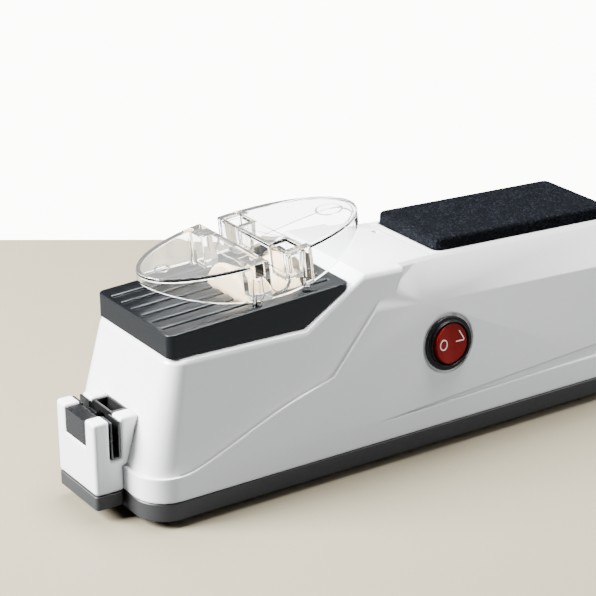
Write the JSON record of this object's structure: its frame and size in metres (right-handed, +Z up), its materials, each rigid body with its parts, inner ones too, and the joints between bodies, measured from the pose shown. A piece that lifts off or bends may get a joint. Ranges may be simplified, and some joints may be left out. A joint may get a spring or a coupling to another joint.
{
  "type": "electric knife sharpener",
  "caption": "White table-top electric knife sharpener with a ribbed grinding deck under a clear winged cover, a whetstone, a rocker switch and a hand unit on its end.",
  "frame": {"origin": "on the floor, under the middle of the whole length", "axes": "+X along the length, away from the hand unit; -Y out of the side with the switch; +Z up"},
  "size_m": [0.2561, 0.0732, 0.1005],
  "materials": {
    "white_shell": "glossy white",
    "tray": "satin dark grey",
    "rubber": "matte",
    "deck": "satin, near black grey",
    "clear_cover": "clear polished plastic",
    "wheel": "grainy cream ceramic",
    "brass_parts": "plain",
    "steel_parts": "plain",
    "zinc_parts": "zinc plated",
    "bronze": "sintered",
    "stone": "coarse black grit",
    "adhesive": "foam tape",
    "black_plastic": "satin black",
    "rocker": "dark red, satin",
    "insert": "satin dark grey",
    "carbide": "ground",
    "board": "green solder mask"
  },
  "bodies": {
    "housing": {"base_tray": "tray", "rubber_foot_1": "rubber", "rubber_foot_2": "rubber", "rubber_foot_3": "rubber", "rubber_foot_4": "rubber", "upper_housing": "white_shell", "grinding_deck": "deck", "motor_can": "zinc_parts", "motor_end_cap": "black_plastic", "motor_tag_1": "brass_parts", "motor_tag_2": "brass_parts", "motor_plate": "zinc_parts", "motor_screw_1": "steel_parts", "motor_screw_2": "steel_parts", "plate_screw_1": "steel_parts", "plate_screw_2": "steel_parts", "bearing_post": "tray", "shaft_bush": "bronze", "whetstone": "stone", "stone_adhesive": "adhesive", "switch_body": "black_plastic", "switch_tag_1": "brass_parts", "switch_tag_2": "brass_parts", "unit_housing": "white_shell", "unit_base": "tray", "saddle_insert": "insert", "carbide_holder": "black_plastic", "carbide_blade_1": "carbide", "carbide_blade_2": "carbide", "unit_screw_1": "steel_parts", "unit_screw_2": "steel_parts", "base_screw_1": "steel_parts", "base_screw_2": "steel_parts", "base_screw_3": "steel_parts", "base_screw_4": "steel_parts", "power_board": "board", "board_capacitor": "black_plastic", "dc_inlet": "black_plastic"},
    "rotor": {"grinding_wheel": "wheel", "wheel_collet": "brass_parts", "motor_shaft": "steel_parts"},
    "rocker": {"switch_rocker": "rocker"},
    "guard": {"guard_cover": "clear_cover"}
  },
  "joints": [
    {"name": "wheel_spin", "type": "hinge", "parent": "housing", "child": "rotor", "pos_m": [-0.0465, 0, 0.0675], "axis": [1, 0, 0], "continuous": true},
    {"name": "switch_rock", "type": "hinge", "parent": "housing", "child": "rocker", "pos_m": [0.0233, -0.03275, 0.04453], "axis": [-0.1908, 0.0762, 0.9787], "range_deg": [-14, 0]},
    {"name": "guard_lift", "type": "slide", "parent": "housing", "child": "guard", "axis": [0, 0, 1], "range_m": [0, 0.008]}
  ]
}
